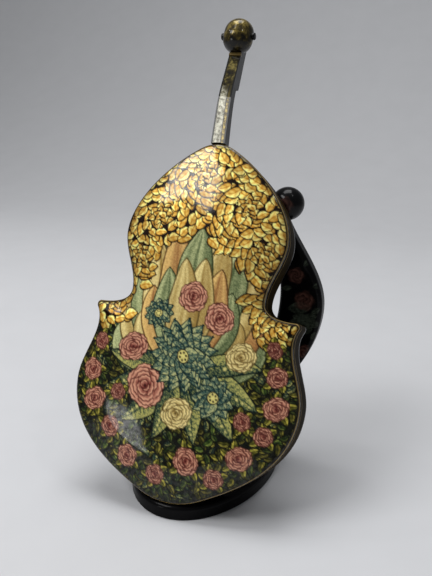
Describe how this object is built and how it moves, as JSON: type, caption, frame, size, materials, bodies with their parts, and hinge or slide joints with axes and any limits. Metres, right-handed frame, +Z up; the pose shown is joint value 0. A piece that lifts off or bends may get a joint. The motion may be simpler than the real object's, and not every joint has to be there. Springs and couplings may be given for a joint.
{
  "type": "violin-shaped lacquer box on stand",
  "caption": "Lacquered keepsake box in the shape of a violin with a domed painted lid on a side hinge, leaning on a black lyre stand with an oval base.",
  "frame": {"origin": "middle of the stand's underside, on the table", "axes": "+Z up, the painted front towards -Y, +X to the right seen from the front"},
  "size_m": [0.0993, 0.098, 0.1978],
  "materials": {
    "black_lacquer_board": "polished black lacquer over papier-mache",
    "red_lacquer_board": "polished red lacquer over papier-mache",
    "painted_lacquer_board": "painted ornament under clear gloss lacquer",
    "black_lacquer_wood": "polished black lacquer over turned and sawn wood",
    "gold_leaf_wood": "gold leaf on the front, black lacquer on the sides",
    "antique_gold_wood": "worn gold leaf under tinted lacquer",
    "pale_gold_wood": "pale gold paint",
    "plain_wood": "bare birch, hidden in the joints",
    "brass": "rubbed brass"
  },
  "bodies": {
    "stand": {"base": "black_lacquer_wood", "lyre_stem": "black_lacquer_wood", "lyre_arm_left": "black_lacquer_wood", "lyre_arm_right": "black_lacquer_wood", "arm_dowels": "plain_wood", "finial_left": "black_lacquer_wood", "finial_right": "black_lacquer_wood", "finial_dowels": "plain_wood"},
    "box": {"back_panel": "black_lacquer_board", "tray_wall": "black_lacquer_board", "tray_lip": "red_lacquer_board", "hinge_leaf_tray": "brass", "hinge_pin": "brass", "hinge_nails_tray": "brass", "neck": "gold_leaf_wood", "neck_dowel": "plain_wood", "pegbox": "gold_leaf_wood", "nut": "pale_gold_wood", "head_ball": "antique_gold_wood", "head_dowel": "plain_wood", "head_stud_left": "black_lacquer_wood", "head_stud_right": "black_lacquer_wood"},
    "lid": {"lid_panel": "painted_lacquer_board", "lid_wall": "black_lacquer_board", "hinge_leaf_lid": "brass", "hinge_nails_lid": "brass"}
  },
  "joints": [
    {"name": "box_lift", "type": "slide", "parent": "stand", "child": "box", "axis": [0, 0, 1], "range_m": [0, 0.15]},
    {"name": "lid_hinge", "type": "hinge", "parent": "box", "child": "lid", "pos_m": [-0.049, -0.02861, 0.04713], "axis": [0, -0.3811, -0.9245], "range_deg": [0, 110]}
  ]
}
